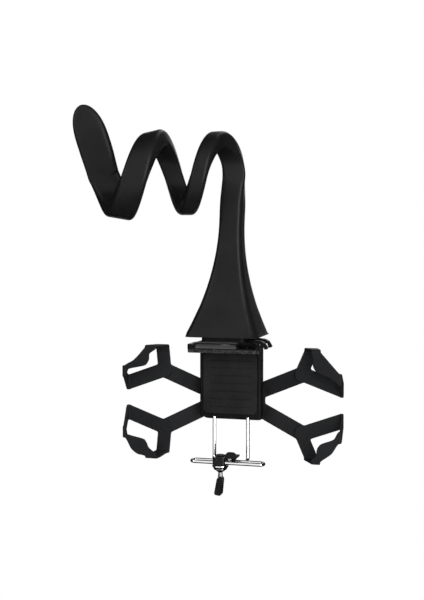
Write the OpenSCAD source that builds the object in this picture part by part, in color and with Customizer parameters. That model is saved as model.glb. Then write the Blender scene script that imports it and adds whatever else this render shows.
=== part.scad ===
// Phone handlebar mount: a bendable rubber arm wound into a coil, a quick-release joint
// under its foot, and a clamp with a wire jaw and a silicone corner band.
// Millimetres. The origin is on the coil's axis, X runs along the clamp's lip, Y points
// away from the viewer and Z is up.

/* [Coil bore] */
// diameter of the coil's bore
bar_d = 28.6; // [22:0.1:35]
// angle of the coil's axis to the clamp's lip, seen from above
bar_yaw = 15.2; // [0:0.1:25]

/* [Arm] */
// thickness of the wound strap
strap_t = 10.9; // [9:0.1:13]
// how far the strap reaches into the bore before the bore is cut out
strap_bite = 0.8; // [0.4:0.1:1.2]
// width of the strap at the first turn
strap_w = 9.6; // [9:0.1:13]
// width of the strap at the leaf
leaf_w = 20.5; // [16:0.1:26]
// thickness of the leaf at its root
leaf_t = 8.1; // [6:0.1:9]
// thickness of the leaf at its end
leaf_end_t = 3.4; // [2.5:0.1:5]
// height of the leaf above the coil's axis
leaf_rise = 41.9; // [30:0.1:55]
// sideways lean of the leaf for each millimetre of rise
leaf_lean = 0.32; // [0:0.01:0.4]
// sideways bow of the leaf
leaf_bow = 2.5; // [0:0.1:5]
// share of the leaf below its round end
leaf_round = 0.48; // [0.3:0.01:0.8]
// rounding of the strap's edges
strap_r = 2.8; // [1.5:0.1:3.4]
// turns that the strap makes round the bore
coil_turns = 2; // [2:1:2]
// place along the coil's axis where the neck meets the coil
coil_start = 8.5; // [4:0.1:14]
// travel along the coil's axis in the first turn
coil_pitch = 31.5; // [28:0.1:42]
// extra travel in the first half turn
coil_lead = 6.2; // [0:0.1:8]
// extra travel that grows along the coil
coil_spread = 1.7; // [0:0.1:3]
// slack under the bore in the first turn
first_slack = 1; // [0:0.1:2]
// slack under the bore in the second turn
strap_slack = 4.9; // [0:0.1:6]
// roll of the strap where it hangs slack
strap_roll = 13; // [0:0.5:20]
// width of the neck
neck_w = 14.2; // [12:0.1:16]
// drop from the coil's axis to the bottom of the foot
foot_drop = 100.1; // [90:0.1:115]
// width of the foot
foot_w = 50; // [44:0.1:54]
// depth of the foot from front to back
foot_d = 40; // [38:0.1:46]
// height over which the foot flares
flare_h = 72; // [60:0.5:80]
// edge rounding at the bottom of the foot
foot_r = 13; // [6:0.1:14]
// distance of the foot's middle behind the coil's axis
foot_y = 21.5; // [20:0.1:23]
// sideways place of the foot's middle
foot_shift = -0.9; // [-1.4:0.1:1.4]

/* [Arm core] */
// diameter of each bendable wire
core_d = 2.4; // [2:0.1:2.8]
// distance between the two bendable wires
core_gap = 4.4; // [3.6:0.1:5]
// length of wire left out at the leaf's end
core_short = 16; // [10:0.5:22]
// diameter of the ferrule
ferrule_d = 10.5; // [10:0.1:10.8]
// length of the ferrule
ferrule_h = 24; // [18:0.5:28]
// diameter of the plug's bottom flange
plug_d = 33.4; // [33:0.1:35]
// thickness of the plug's bottom flange
plug_flange = 3.8; // [3:0.1:4.4]
// diameter of the plug's waist
plug_waist_d = 18; // [15:0.1:20]
// height of the plug
plug_h = 27; // [22:0.5:30]

/* [Quick release] */
// depth of the socket from front to back
socket_w = 33; // [32.6:0.1:34]
// length of the socket along the slide
socket_l = 28.4; // [28:0.1:31]
// depth of the socket inside the foot
socket_in = 3.4; // [3.2:0.1:4.4]
// height of the socket below the foot
socket_out = 2.8; // [2.8:0.1:4]
// air between the rubber foot and the slider
foot_air = 0.3; // [0.2:0.05:0.4]
// width of the slider's head
head_w = 22.1; // [20:0.1:22.4]
// thickness of the slider's head
head_t = 1.3; // [1.1:0.1:1.4]
// width of the slider's neck
slider_neck = 16.7; // [15.5:0.1:17.5]
// clearance all round the slider
slide_fit = 0.15; // [0.1:0.01:0.25]
// length of the slider inside the socket
slider_l = 24.2; // [23:0.1:24.6]
// thickness of the buckle's flange
flange_t = 1.8; // [1.8:0.1:2.6]
// depth of the flange from front to back
flange_d = 22; // [21.4:0.1:26]
// left end of the flange
flange_left = 21.2; // [19:0.1:23]
// length of the two grooves along the flange
groove_l = 24; // [20:0.5:26]
// width of each groove
groove_w = 0.8; // [0.6:0.1:1]
// distance of each groove from the flange's edge
groove_edge = 1.3; // [1.2:0.1:1.4]
// depth of each groove
groove_h = 0.5; // [0.3:0.1:0.7]
// length of the slope at the flange's left end
flange_slope = 5.2; // [3:0.1:6]
// right end of the flange
flange_right = 17; // [15:0.1:18]
// air between socket and flange
flange_air = 0.3; // [0.2:0.05:0.5]
// reach of the squeeze prongs to the right
prong_reach = 25.6; // [25.4:0.1:28]
// drop of the prongs' tips below the flange
prong_drop = 2.6; // [2.2:0.1:2.8]
// width of each prong
prong_w = 4.2; // [3:0.1:4.4]
// thickness of each prong
prong_t = 1.7; // [1.4:0.1:2]
// shank diameter of the socket screws
socket_screw_d = 2.2; // [1.8:0.1:2.4]
// head diameter of the socket screws
socket_screw_head = 3.8; // [3.4:0.1:3.9]
// head height of the socket screws
socket_screw_hh = 1.5; // [1.2:0.1:1.7]

/* [Swivel] */
// diameter of the swivel screw
pivot_d = 6.35; // [5:0.05:6.5]
// diameter of the swivel screw's flat head
pivot_head_d = 12; // [11:0.1:12.6]
// width of the nut across its flats
nut_af = 11.1; // [10:0.1:11.4]
// thickness of the thin nut
nut_t = 2.8; // [2.6:0.1:3]
// running clearance round the swivel screw
pivot_fit = 0.08; // [0.05:0.01:0.1]
// diameter of the friction washer
washer_d = 18; // [14:0.1:22]
// thickness of the friction washer
washer_t = 0.3; // [0.3:0.05:0.8]

/* [Held space] */
// length of the held space that the band is fitted to
phone_l = 138.1; // [120:0.1:160]
// height of the held space
phone_h = 67; // [64:0.1:72]
// depth of the held space
phone_t = 6.9; // [6:0.1:8]
// distance of the held space's middle behind the coil's axis
slot_y = 19.5; // [19:0.1:20.5]
// sideways place of the held space in the clamp
phone_shift = 1.5; // [-3:0.1:3]
// air round the held space
phone_fit = 0.1; // [0.1:0.05:0.3]

/* [Clamp body] */
// width of the upper jaw
jaw_w = 46; // [44:0.1:50]
// sideways place of the upper jaw
jaw_shift = -1.7; // [-2.2:0.1:0]
// thickness of the upper jaw
jaw_t = 2.6; // [2.5:0.1:3.2]
// thickness of the lip in front of the held space
lip_t = 3; // [2.8:0.1:3.6]
// drop of the lip below the top of the held space
lip_drop = 2.2; // [1.8:0.1:3]
// distance of the sloped front panel from the jaw's left end
panel_edge = 4.9; // [3:0.1:6]
// right end of the sloped front panel
panel_end = 7; // [6:0.1:7.4]
// depth of the sloped panel at its top
panel_slope = 1.5; // [1:0.1:1.8]
// depth of the recesses beside the panel
recess_d = 4; // [2:0.1:5]
// thickness of the foam pad
pad_t = 0.6; // [0.5:0.05:0.8]
// air between the lip's foam and the held space
lip_air = 0.6; // [0.4:0.1:1]
// width of the back plate
back_w = 40; // [39:0.1:44]
// height of the back plate
back_h = 47; // [45:0.5:49]
// thickness of the back plate's housing
back_t = 5; // [4.9:0.1:5.6]
// wall between the held space and the wire pocket
front_wall = 1.45; // [1.2:0.05:1.6]
// thickness of the rubber back pad
rest_t = 1; // [0.8:0.1:1.4]
// thickness of the back cover
cover_t = 2; // [1.9:0.1:2.6]
// shank diameter of the cover screws
cover_screw_d = 2; // [1.6:0.1:2.2]
// head diameter of the cover screws
cover_screw_head = 3.8; // [3.4:0.1:4]
// distance of the cover screws from the plate's sides
cover_screw_edge = 3; // [2.8:0.1:3.4]

/* [Wire jaw] */
// diameter of the wire
wire_d = 2.3; // [2.2:0.1:2.4]
// width over the loop
loop_w = 48.7; // [46:0.1:52]
// sideways place of the loop
loop_shift = -0.45; // [-1:0.05:1]
// drop of the loop below the held space
loop_drop = 4.7; // [4.6:0.1:5.2]
// distance between the loop's two runs
loop_gap = 5.6; // [5.5:0.1:5.9]
// inside bend of each leg under the held space
leg_bend = 3; // [2.6:0.1:3.6]
// distance of each leg from the middle
leg_x = 11; // [10.8:0.1:11.3]
// depth of the leg tops below the upper jaw's top
leg_depth = 16.2; // [15:0.1:17]
// height of the stop bar
stop_h = 4.5; // [3.5:0.1:5]
// outside diameter of the friction bushes
bush_d = 3.8; // [3.5:0.05:3.85]
// length of the friction bushes
bush_h = 6; // [5:0.1:6.5]
// running clearance round the legs
leg_fit = 0.05; // [0.02:0.01:0.09]
// width of the hook
hook_w = 7; // [6:0.1:8]
// gap between the hook and the ribbed block
hook_gap = 0.3; // [0.1:0.1:1.5]
// rise of the hook above the held space's lower edge
hook_rise = 2.8; // [2.6:0.1:4]
// thickness of the hook's lip
hook_t = 2.4; // [2:0.1:3]
// thickness of the hook's foot under the held space
hook_foot = 1.2; // [1:0.1:1.4]

/* [Clamp screw] */
// sideways place of the clamp screw
screw_x = -5.1; // [-5.4:0.1:-4.9]
// width of the ribbed bridge block
block_w = 8.4; // [8:0.1:9]
// depth of the block from front to back
block_l = 10.6; // [10.2:0.1:11]
// rounding of the block's upright edges
block_r = 2.2; // [1.5:0.1:2.6]
// rounding of the block's two shoulders
block_shoulder = 1.6; // [1:0.1:2]
// distance between the ribs
rib_pitch = 1; // [0.9:0.05:1.1]
// diameter of each rib
rib_d = 0.7; // [0.5:0.1:0.9]
// rise of the bridge block above the loop
block_up = 3.7; // [3.6:0.1:3.8]
// depth of the bridge block below the loop
block_down = 1.3; // [1.3:0.1:1.8]
// diameter of the screw
screw_d = 2.8; // [2.6:0.1:2.9]
// running clearance round the screw
screw_fit = 0.06; // [0.03:0.01:0.09]
// diameter at the top of the nut
nut_top_d = 8.8; // [8.4:0.1:9.2]
// diameter of the nut's flange
flange_nut_d = 10.4; // [9.4:0.1:11]
// thickness of the nut's flange
flange_nut_t = 2.4; // [2:0.1:2.8]
// diameter at the bottom of the nut
nut_foot_d = 9; // [8:0.1:9.2]
// diameter of the pressure pad
press_d = 6; // [5.4:0.1:6.2]
// thickness of the pressure pad
press_t = 1.4; // [1.2:0.1:1.6]
// top diameter of the tapered collar
collar_d = 8.6; // [7:0.1:9]
// height of the tapered collar
collar_h = 2.4; // [2:0.1:3]
// air between nut and collar
collar_air = 0.4; // [0.35:0.05:0.6]
// thickness of the screw's flat end
tang_t = 2; // [1.8:0.1:2.2]
// length from the collar to the lever's pin
pin_drop = 4.9; // [4.4:0.1:5.6]
// diameter of the lever's pin
pin_d = 1.5; // [1.2:0.1:1.6]
// running clearance round the pin
pin_fit = 0.06; // [0.03:0.01:0.09]
// thickness of the lever
lever_t = 5; // [4.8:0.1:6]
// width of the lever at its pin
lever_top_w = 3.8; // [3.6:0.1:4.2]
// width of the lever at its end
lever_w = 4.6; // [4.4:0.1:6]
// rounding of the lever's two lower corners
lever_r = 1.3; // [1:0.1:2]
// length of the lever below its pin
lever_l = 9.9; // [9:0.1:13]
// lean of the lever from upright
lever_lean = 8; // [0:0.5:12]

/* [Corner band] */
// thickness of the silicone band
band_t = 1.6; // [1.4:0.1:2]
// far side of the strap on the front's long edge, from the corner
strap_far = 17.2; // [17:0.1:19]
// near side of the strap on the front's long edge, from the corner
strap_near = 11.4; // [10:0.1:13]
// far side of the strap on the front's short edge, from the corner
side_far = 20.2; // [20:0.1:21]
// near side of the strap on the front's short edge, from the corner
side_near = 12.8; // [11:0.1:14]
// reach of the strap's bulge from the two edges
strap_bulge = 13.3; // [12:0.1:13.8]
// far side of the strap on the back's long edge, from the corner
back_far = 23; // [21:0.1:25]
// near side of the strap on the back's long edge, from the corner
back_near = 14; // [12:0.1:15]
// far side of the strap on the back's short edge, from the corner
side_back_far = 28.6; // [27:0.1:29]
// near side of the strap on the back's short edge, from the corner
side_back_near = 18.6; // [17:0.1:19]
// extra distance of the two left straps from their corners on the long edges
left_more = 4.4; // [0:0.1:5]
// width of the middle of the band
hub_h = 26; // [22:0.5:28]
// width of the band's arms
band_arm = 10; // [8:0.1:11]
// diameter of the band's button
button_d = 11; // [9:0.1:13]

/* [Hidden] */
$fn = 48;
eps = 0.01;
// length of a cut that goes right through
through = 160;
bar_r = bar_d/2;

// heights, from the foot down to the lever
foot_z = -foot_drop;
socket_top = foot_z + socket_in;
socket_bot = foot_z - socket_out;
head_top = foot_z - foot_air;
slot_top = head_top + slide_fit;
head_bot = head_top - head_t;
rail_top = head_bot - slide_fit;
flange_top = socket_bot - flange_air;
flange_bot = flange_top - flange_t;
jaw_top = flange_bot - washer_t;
jaw_bot = jaw_top - jaw_t;
pad_bot = jaw_bot - pad_t;
phone_top = pad_bot - phone_fit;
phone_bot = phone_top - phone_h;
phone_mid = (phone_top + phone_bot)/2;
loop_z = phone_bot - loop_drop;
body_bot = jaw_top - back_h;
pocket_top = jaw_bot - 1.2;
pocket_bot = body_bot + bush_h + 1.5;
leg_top = jaw_top - leg_depth;

// places from front to back
phone_front = slot_y - phone_t/2;
phone_back = slot_y + phone_t/2;
lip_back = phone_front - lip_air;
lip_front = lip_back - lip_t;
body_front = phone_back + phone_fit + rest_t;
body_back = body_front + back_t;
cover_back = body_back + cover_t;
wire_y = body_front + front_wall + 0.25 + wire_d/2;
loop_y = slot_y;
far_y = loop_y + loop_gap/2;
loop_r = loop_gap/2;
loop_half = loop_w/2 - wire_d/2 - loop_r;
pocket_x = leg_x + 3;
jaw_x0 = jaw_shift - jaw_w/2;
jaw_x1 = jaw_shift + jaw_w/2;
hook_x = screw_x + block_w/2 + hook_gap + hook_w/2;
cover_screw_x = back_w/2 - cover_screw_edge;

// clamp screw heights
block_top = loop_z + block_up;
block_bot = loop_z - block_down;
press_top = phone_bot - phone_fit;
press_bot = press_top - press_t;
seat_z = loop_z + wire_d/2 + 0.05;
nut_bot = block_bot - flange_nut_t;
collar_top = nut_bot - collar_air;
collar_bot = collar_top - collar_h;
pin_z = collar_bot - pin_drop;

// swivel heights
nut_floor = 1.6;
nut_z = flange_bot + nut_floor + nut_t;
head_h = jaw_t - 0.4;

function smooth(x) = let(t = min(1, max(0, x))) t*t*(3 - 2*t);
function unit(v) = v/norm(v);
function turned(p) = [p[0]*cos(bar_yaw) - p[1]*sin(bar_yaw), p[0]*sin(bar_yaw) + p[1]*cos(bar_yaw), p[2]];

// The arm's middle line. The first stretch climbs from the foot to the coil, the second
// winds round the bore and the third runs up the leaf. Each gives a place and the
// direction of the strap's thickness.
ease = 1/9;
neck_steps = 17;
coil_steps = 30*coil_turns;
leaf_steps = 12;
coil_end = coil_turns;
function eased(n) = n < ease ? n*n/(2*ease) : n - ease/2;
function travel(n) = coil_start - coil_pitch*eased(n) - coil_lead*smooth(2*n) - coil_spread*pow(n, 3);
function swell(n, at, span) = exp(-pow((n - at)/span, 2));
function slack(n) = first_slack*swell(n, 0.75, 0.15) + strap_slack*swell(n, 1.8, 0.127);
function roll(n) = strap_roll*swell(n, 1.81, 0.11);
function coil_t(n) = n < 0.25 ? neck_w + (strap_t - neck_w)*smooth(n/0.25)
    : strap_t + (leaf_t - strap_t)*smooth((n - coil_end + 0.45)/0.45);
function coil_w(n) = n < 0.35 ? neck_w + (strap_w - neck_w)*smooth(n/0.35)
    : strap_w + (leaf_w - strap_w)*pow(max(0, (n - 0.35)/(coil_end - 0.35)), 1.7)*0.9;
function coil_p(n) = let(r = bar_r - strap_bite + coil_t(n)/2 + slack(n))
    turned([travel(n), r*cos(360*n), r*sin(360*n)]);
function coil_n(n) = turned([0, cos(360*n), sin(360*n)]);

neck_top = coil_p(0);
neck_foot = [foot_shift, foot_y, foot_z];
function neck_p(s) = neck_foot + ([neck_top[0], neck_top[1], 0] - neck_foot)*s;
function neck_grow(s, foot) = let(f = 1 - min(1, s*foot_drop/flare_h)) neck_w + (foot - neck_w)*f*f;
function neck_n(s) = let(a = bar_yaw*smooth((s - 0.8)/0.2)) [-sin(a), cos(a), 0];

leaf_root = travel(coil_end);
function leaf_y(s) = bar_r - strap_bite + (leaf_t + (leaf_end_t - leaf_t)*s)/2;
function leaf_p(s) = turned([leaf_root - leaf_lean*leaf_rise*s + leaf_bow*s*(1 - s), leaf_y(s), leaf_rise*s]);
function leaf_width(s) = let(g = max(0, (s - leaf_round)/(1 - leaf_round)))
    (strap_w + (leaf_w - strap_w)*(0.9 + 0.1*smooth(s/0.4)))*max(0.12, sqrt(max(0, 1 - pow(g, 2.5))));
function leaf_thick(s) = (leaf_t + (leaf_end_t - leaf_t)*s)*(s > 0.97 ? 0.7 : 1);

path = concat(
    [for (i = [0:neck_steps - 1]) let(s = i/neck_steps) neck_p(s)],
    [for (i = [0:coil_steps]) coil_p(coil_end*i/coil_steps)],
    [for (i = [1:leaf_steps]) leaf_p(1 - pow(1 - i/leaf_steps, 1.5))]);
normals = concat(
    [for (i = [0:neck_steps - 1]) neck_n(i/neck_steps)],
    [for (i = [0:coil_steps]) coil_n(coil_end*i/coil_steps)],
    [for (i = [1:leaf_steps]) turned([0, 1, 0])]);
widths = concat(
    [for (i = [0:neck_steps - 1]) neck_grow(i/neck_steps, foot_w)],
    [for (i = [0:coil_steps]) coil_w(coil_end*i/coil_steps)],
    [for (i = [1:leaf_steps]) leaf_width(1 - pow(1 - i/leaf_steps, 1.5))]);
thicks = concat(
    [for (i = [0:neck_steps - 1]) neck_grow(i/neck_steps, foot_d)],
    [for (i = [0:coil_steps]) coil_t(coil_end*i/coil_steps)],
    [for (i = [1:leaf_steps]) leaf_thick(1 - pow(1 - i/leaf_steps, 1.5))]);
rolls = concat(
    [for (i = [0:neck_steps - 1]) 0],
    [for (i = [0:coil_steps]) roll(coil_end*i/coil_steps)],
    [for (i = [1:leaf_steps]) 0]);
last = len(path) - 1;
function tangent(i) = i == 0 ? [0, 0, 1] : unit(path[min(last, i + 1)] - path[i - 1]);
function flat_side(i) = unit(cross(normals[i], tangent(i)));
function flat_face(i) = cross(tangent(i), flat_side(i));
function side(i) = flat_side(i)*cos(rolls[i]) + flat_face(i)*sin(rolls[i]);
function face(i) = flat_face(i)*cos(rolls[i]) - flat_side(i)*sin(rolls[i]);

// one rounded rectangle across the arm
arc_steps = 4;
ring_n = 4*(arc_steps + 1);
function ring(c, u, n, hw, ht, r) = [for (k = [0:3]) for (j = [0:arc_steps])
    let(a = 90*k + 90*j/arc_steps, sx = (k == 0 || k == 3) ? 1 : -1, sy = k < 2 ? 1 : -1)
    c + u*(sx*(hw - r) + r*cos(a)) + n*(sy*(ht - r) + r*sin(a))];
function edge_r(i) = i < neck_steps
    ? strap_r + (foot_r - strap_r)*pow(1 - i/neck_steps, 2)
    : min(strap_r, 0.49*thicks[i], 0.49*widths[i]);
function tube_faces(rings, n) = concat(
    [[for (j = [0:n - 1]) j]],
    [for (i = [0:rings - 2]) for (j = [0:n - 1]) [i*n + n + j, i*n + n + (j + 1)%n, i*n + (j + 1)%n]],
    [for (i = [0:rings - 2]) for (j = [0:n - 1]) [i*n + n + j, i*n + (j + 1)%n, i*n + j]],
    [[for (j = [n - 1:-1:0]) (rings - 1)*n + j]]);

module arm_sweep() {
    pts = [for (i = [0:last]) each ring(path[i], side(i), face(i), widths[i]/2, thicks[i]/2, edge_r(i))];
    polyhedron(points = pts, faces = tube_faces(last + 1, ring_n), convexity = 8);
}

// the two bendable wires, from the ferrule to near the leaf's end
core_first = round(neck_steps*0.3);
core_last = last - round(leaf_steps*core_short/leaf_rise) - 2;
core_n = 6;
module core_sweep(s) {
    pts = [for (i = [core_first:core_last]) for (j = [0:core_n - 1])
        path[i] + side(i)*(s*core_gap/2 + core_d/2*cos(360*j/core_n)) + face(i)*core_d/2*sin(360*j/core_n)];
    polyhedron(points = pts, faces = tube_faces(core_last - core_first + 1, core_n), convexity = 8);
}

// plan and profile helpers
module plate(w, d, r) {
    square([w - 2*r, d], center = true);
    square([w, d - 2*r], center = true);
    for (x = [-1, 1]) for (y = [-1, 1]) translate([x*(w/2 - r), y*(d/2 - r)]) circle(r);
}
module slab(w, d, r, z0, z1) {
    translate([0, 0, z0]) linear_extrude(z1 - z0) plate(w, d, r);
}
module rod(d, z0, z1) {
    translate([0, 0, z0]) cylinder(d = d, h = z1 - z0);
}
module along_x(d, x0, x1) {
    translate([x0, 0, 0]) rotate([0, 90, 0]) cylinder(d = d, h = x1 - x0);
}
module along_y(d, y0, y1) {
    translate([0, y0, 0]) rotate([-90, 0, 0]) cylinder(d = d, h = y1 - y0);
}
module box(x0, x1, y0, y1, z0, z1) {
    translate([x0, y0, z0]) cube([x1 - x0, y1 - y0, z1 - z0]);
}
// an outline drawn in Y and Z, given depth along X
module side_extrude(x0, x1) {
    translate([x0, 0, 0]) rotate([90, 0, 90]) linear_extrude(x1 - x0) children();
}
// an outline drawn in X and Z, given depth along Y
module front_extrude(y0, y1) {
    translate([0, y1, 0]) rotate([90, 0, 0]) linear_extrude(y1 - y0) children();
}

// quick-release outlines, about the foot's middle
screw_places = [[-5, -1], [5, -1], [-5, 1], [5, 1]];
socket_screw_y = (head_w/2 + slide_fit + socket_w/2)/2;
plug_bot = socket_top;
ferrule_bot = plug_bot + plug_flange + 12;

module plug_shape() {
    rod(plug_d, plug_bot, plug_bot + plug_flange);
    rod(plug_waist_d, plug_bot + plug_flange - eps, plug_bot + 0.62*plug_h);
    rod(plug_waist_d - 4, plug_bot + 0.6*plug_h, plug_bot + plug_h);
}
module ferrule_shape() {
    rod(ferrule_d, ferrule_bot, ferrule_bot + ferrule_h);
}

module arm_rubber() {
    color([0.14, 0.14, 0.145])
    difference() {
        arm_sweep();
        rotate([0, 0, bar_yaw]) along_x(bar_d, -through, through, $fn = 96);
        translate([0, foot_y, 0]) slab(socket_l, socket_w, 4, foot_z - 5, socket_top);
        translate([0, foot_y, 0]) plug_shape();
        translate([0, foot_y, 0]) ferrule_shape();
        core_sweep(1);
        core_sweep(-1);
    }
}
module core_wires() {
    color([0.75, 0.76, 0.78])
    for (s = [-1, 1]) core_sweep(s);
}
module core_ferrule() {
    color([0.7, 0.6, 0.35])
    difference() {
        translate([0, foot_y, 0]) ferrule_shape();
        core_sweep(1);
        core_sweep(-1);
    }
}
module base_insert() {
    color([0.2, 0.2, 0.22])
    translate([0, foot_y, 0]) difference() {
        plug_shape();
        ferrule_shape();
        for (p = screw_places) translate([p[0], p[1]*socket_screw_y, 0])
            rod(socket_screw_d, plug_bot - 1, plug_bot + 3);
    }
}
module socket_plate() {
    head_hw = head_w/2 + slide_fit;
    neck_hw = slider_neck/2 + slide_fit;
    left = -slider_l/2 - slide_fit;
    color([0.05, 0.05, 0.055])
    translate([0, foot_y, 0]) difference() {
        slab(socket_l, socket_w, 4, socket_bot, socket_top);
        box(left, socket_w, -head_hw, head_hw, rail_top, slot_top);
        box(left, socket_w, -neck_hw, neck_hw, socket_bot - 1, rail_top + eps);
        for (p = screw_places) translate([p[0], p[1]*socket_screw_y, 0]) {
            rod(socket_screw_d, socket_bot - 1, socket_top + 1);
            rod(socket_screw_head, socket_bot - 1, socket_bot + socket_screw_hh + 0.2);
        }
    }
}
module socket_screws() {
    color([0.5, 0.5, 0.52])
    for (p = screw_places) translate([p[0], foot_y + p[1]*socket_screw_y, 0]) difference() {
        union() {
            rod(socket_screw_d, socket_bot + 0.3, plug_bot + 2.8);
            rod(socket_screw_head, socket_bot + 0.2, socket_bot + 0.2 + socket_screw_hh);
        }
        rod(1.6, socket_bot, socket_bot + 0.9, $fn = 6);
    }
}
module prong(y0) {
    tip = prong_reach;
    low = flange_bot - prong_drop;
    translate([0, y0, 0]) front_extrude(0, prong_w) polygon([
        [slider_l/2 - 2, head_bot - 0.2], [slider_l/2 - 2, head_bot - 0.2 - prong_t],
        [tip - 9, head_bot - 0.4 - prong_t], [tip - 4.2, flange_top - prong_t + 0.6],
        [tip - 2, flange_bot - 0.2], [tip - 1.2, low], [tip + 0.3, low], [tip + 0.6, low + 0.8],
        [tip - 1.4, flange_top - 0.4], [tip - 3.4, flange_top + 0.7], [tip - 8, head_bot - 0.2]]);
}
module buckle() {
    hy = flange_d/2;
    color([0.045, 0.045, 0.05])
    translate([0, foot_y, 0]) difference() {
        union() {
            box(-slider_l/2, slider_l/2, -head_w/2, head_w/2, head_bot, head_top);
            box(-slider_l/2, slider_l/2, -slider_neck/2, slider_neck/2, flange_top - eps, head_bot + eps);
            front_extrude(-hy, hy) polygon([
                [-flange_left, flange_bot + 0.5], [-flange_left + 1.2, flange_bot],
                [flange_right, flange_bot], [flange_right, flange_top],
                [-flange_left + flange_slope, flange_top]]);
            prong(slider_neck/2 - prong_w);
            prong(-slider_neck/2);
        }
        rod(nut_af/cos(30), nut_z - nut_t, head_top + 1, $fn = 6);
        rod(pivot_d + 0.5, flange_bot - 1, head_top);
        for (y = [-1, 1]) translate([0, y*(hy - groove_edge), 0])
            box(-groove_l/2, groove_l/2, -groove_w/2, groove_w/2, flange_top - groove_h, flange_top + 1);
    }
}
module pivot_nut() {
    color([0.6, 0.6, 0.62])
    translate([0, foot_y, 0]) difference() {
        rod(nut_af/cos(30), nut_z - nut_t, nut_z, $fn = 6);
        rod(pivot_d, nut_z - nut_t - 1, nut_z + 1);
    }
}
module pivot_screw() {
    color([0.62, 0.62, 0.64])
    translate([0, foot_y, 0]) difference() {
        union() {
            rod(pivot_d, jaw_bot + 0.5, nut_z - 0.4);
            translate([0, 0, jaw_bot + 0.2]) cylinder(d1 = pivot_head_d, d2 = pivot_d, h = head_h);
        }
        rod(4, jaw_bot - 1, jaw_bot + 1.5, $fn = 6);
    }
}
module pivot_washer() {
    color([0.85, 0.85, 0.8])
    translate([0, foot_y, 0]) difference() {
        rod(washer_d, jaw_top + 0.03, flange_bot);
        rod(pivot_d + 0.5, jaw_top - 1, flange_bot + 1);
    }
}

// clamp outlines
button_z = phone_mid;
cover_zs = [jaw_bot - 5, body_bot + 3.6];
module jaw_outline() {
    polygon([
        [lip_front, jaw_top - 0.5], [lip_front + 0.5, jaw_top], [body_back, jaw_top], [body_back, jaw_bot],
        [lip_back - pad_t, jaw_bot], [lip_back - pad_t, phone_top - lip_drop + pad_t],
        [lip_front + pad_t, phone_top - lip_drop + pad_t], [lip_front + pad_t, jaw_bot - 0.4],
        [lip_front, jaw_bot - 0.4]]);
}
module clamp_body() {
    color([0.05, 0.05, 0.055])
    difference() {
        union() {
            side_extrude(jaw_x0, jaw_x1) jaw_outline();
            translate([0, 0, body_bot]) linear_extrude(jaw_top - body_bot)
                translate([0, (body_front + body_back)/2]) plate(back_w, back_t, 1.2);
        }
        box(-pocket_x, pocket_x, body_front + front_wall, body_back + 1, pocket_bot, pocket_top);
        for (x = [-1, 1]) translate([x*leg_x, wire_y, 0]) rod(bush_d, body_bot - 1, pocket_bot + 1);
        for (x = [-1, 1]) for (z = cover_zs) translate([x*cover_screw_x, 0, z])
            along_y(cover_screw_d, body_front + 1, body_back + 1);
        translate([0, foot_y, 0]) rod(pivot_d + 2*pivot_fit, jaw_bot - 1, jaw_top + 1);
        translate([0, foot_y, jaw_bot])
            cylinder(d1 = pivot_head_d + 0.6, d2 = pivot_d + 2*pivot_fit, h = head_h + 0.25);
        // sloped panel and recesses along the front of the jaw
        side_extrude(jaw_x0 + panel_edge, panel_end) polygon([
            [lip_front - 1, jaw_bot - 0.2], [lip_front + 0.2, jaw_bot - 0.2],
            [lip_front + panel_slope, jaw_top + 0.1], [lip_front - 1, jaw_top + 0.1]]);
        box(panel_end + 1, panel_end + 6, lip_front - 1, lip_front + recess_d, jaw_bot + 0.4, jaw_top + 1);
        box(panel_end + 7, jaw_x1 - 2.4, lip_front - 1, lip_front + recess_d, jaw_bot + 0.4, jaw_top + 1);
    }
}
module jaw_pad() {
    color([0.27, 0.27, 0.28])
    side_extrude(jaw_x0 + 0.3, jaw_x1 - 0.3) polygon([
        [lip_front, jaw_bot - 0.4], [lip_front + pad_t, jaw_bot - 0.4],
        [lip_front + pad_t, phone_top - lip_drop + pad_t], [lip_back - pad_t, phone_top - lip_drop + pad_t],
        [lip_back - pad_t, jaw_bot], [phone_back - 0.6, jaw_bot], [phone_back - 0.6, pad_bot],
        [lip_back, pad_bot], [lip_back, phone_top - lip_drop + 0.3], [lip_back - 0.4, phone_top - lip_drop],
        [lip_front + 0.4, phone_top - lip_drop], [lip_front, phone_top - lip_drop + 0.4]]);
}
module back_pad() {
    color([0.1, 0.1, 0.1])
    difference() {
        translate([0, 0, (jaw_bot - 4 + body_bot + 2)/2]) front_extrude(body_front - rest_t, body_front)
            plate(back_w - 5, jaw_bot - 6 - body_bot, 3);
        for (i = [-3:3]) translate([0, 0, (jaw_bot - 4 + body_bot + 2)/2 + i*5])
            box(-back_w/2 + 6, back_w/2 - 6, body_front - rest_t - 1, body_front - rest_t + 0.35, -0.5, 0.5);
    }
}
module back_cover() {
    color([0.06, 0.06, 0.065])
    difference() {
        translate([0, 0, (jaw_top + body_bot)/2]) front_extrude(body_back, cover_back)
            plate(back_w, jaw_top - body_bot, 3);
        for (x = [-1, 1]) for (z = cover_zs) translate([x*cover_screw_x, 0, z]) {
            along_y(cover_screw_d, body_back - 1, cover_back + 1);
            along_y(cover_screw_head, cover_back - 1.2, cover_back + 1);
        }
        translate([0, 0, button_z]) along_y(4, body_back - 1, cover_back + 1);
    }
}
module cover_screws() {
    color([0.55, 0.55, 0.57])
    for (x = [-1, 1]) for (z = cover_zs) translate([x*cover_screw_x, 0, z]) difference() {
        union() {
            along_y(cover_screw_d, body_front + 1.1, cover_back - 0.2);
            along_y(cover_screw_head, cover_back - 1.2, cover_back - 0.2);
        }
        along_y(1.3, cover_back - 0.8, cover_back, $fn = 6);
    }
}
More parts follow.
